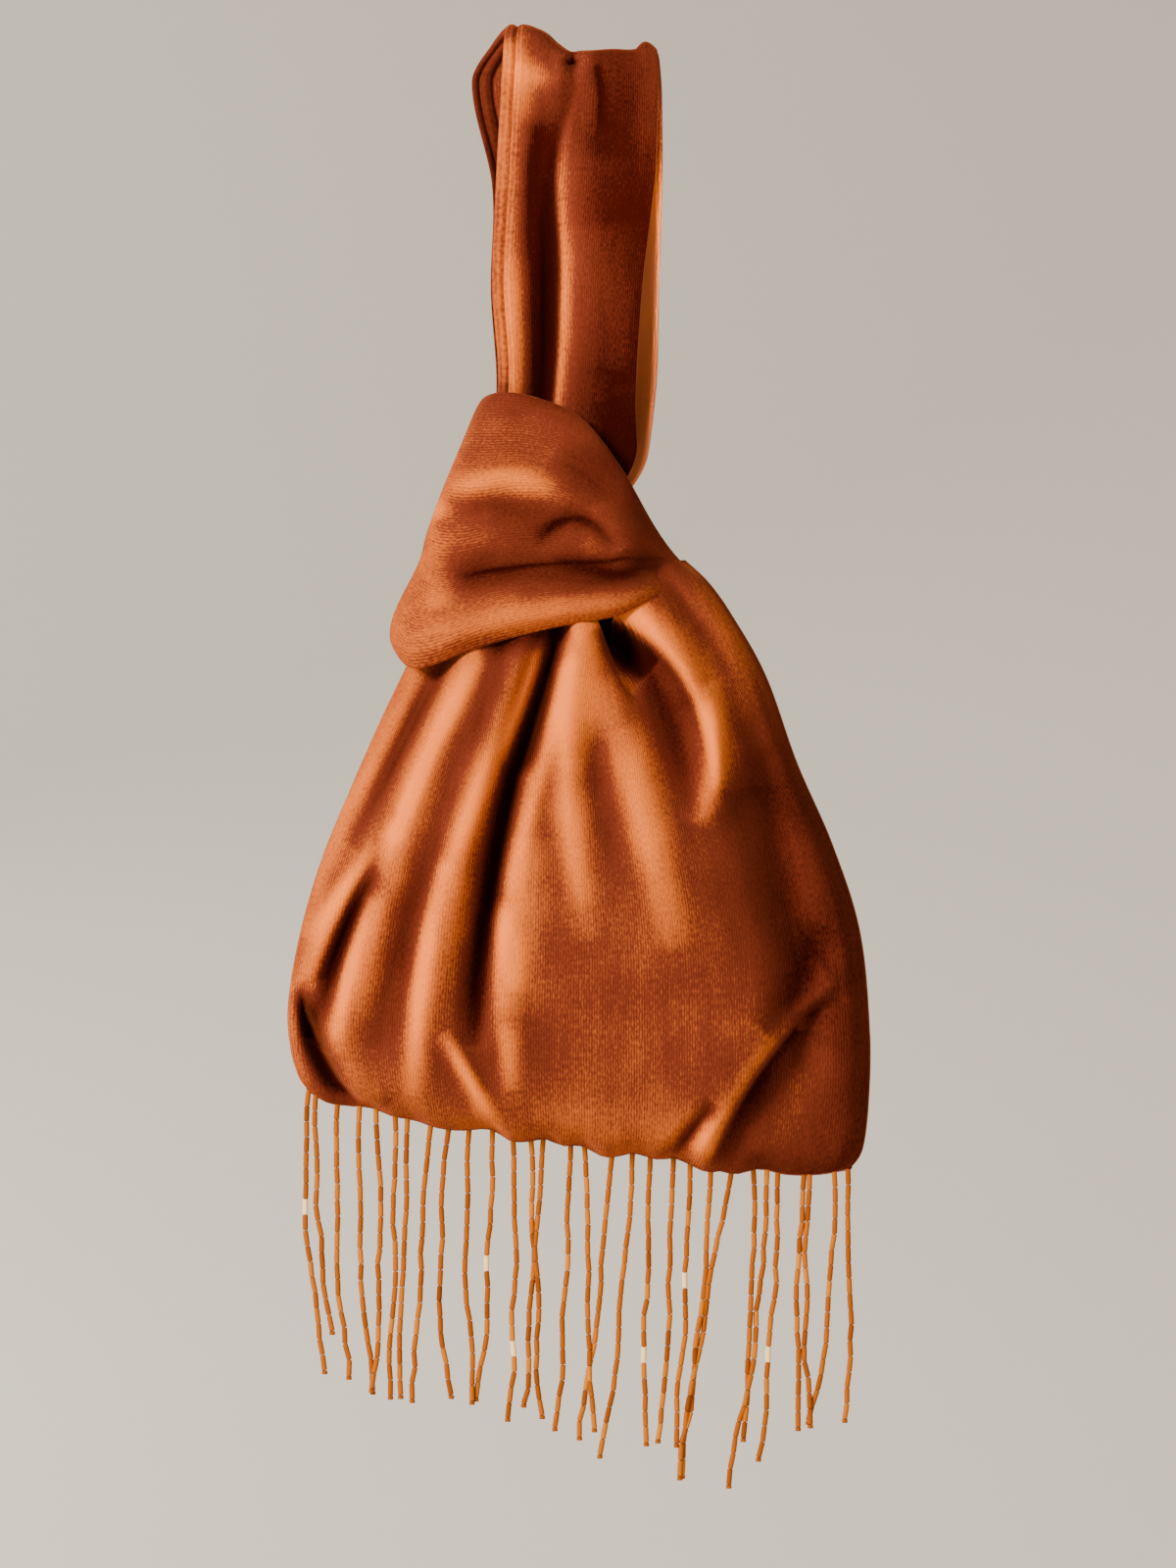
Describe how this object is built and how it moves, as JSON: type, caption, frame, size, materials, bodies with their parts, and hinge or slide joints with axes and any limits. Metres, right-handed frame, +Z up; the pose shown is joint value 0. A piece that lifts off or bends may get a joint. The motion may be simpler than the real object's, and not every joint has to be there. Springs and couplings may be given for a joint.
{
  "type": "knot bag with bead fringe",
  "caption": "Hanging velvet knot bag: a gathered hollow pouch closed by drawing its long handle through its short one, with a bead fringe along the bottom seam.",
  "frame": {"origin": "inside of the long handle's crest, where the bag hangs", "axes": "+Z up along the hanging bag, front faces -Y, +X to the right seen from the front"},
  "size_m": [0.2132, 0.0758, 0.5311],
  "materials": {
    "velvet": "short pile velvet",
    "beads": "amber bugle beads"
  },
  "bodies": {
    "root": {"pouch": "velvet", "long_handle": "velvet", "short_handle": "velvet", "bead_fringe": "beads"}
  },
  "joints": []
}
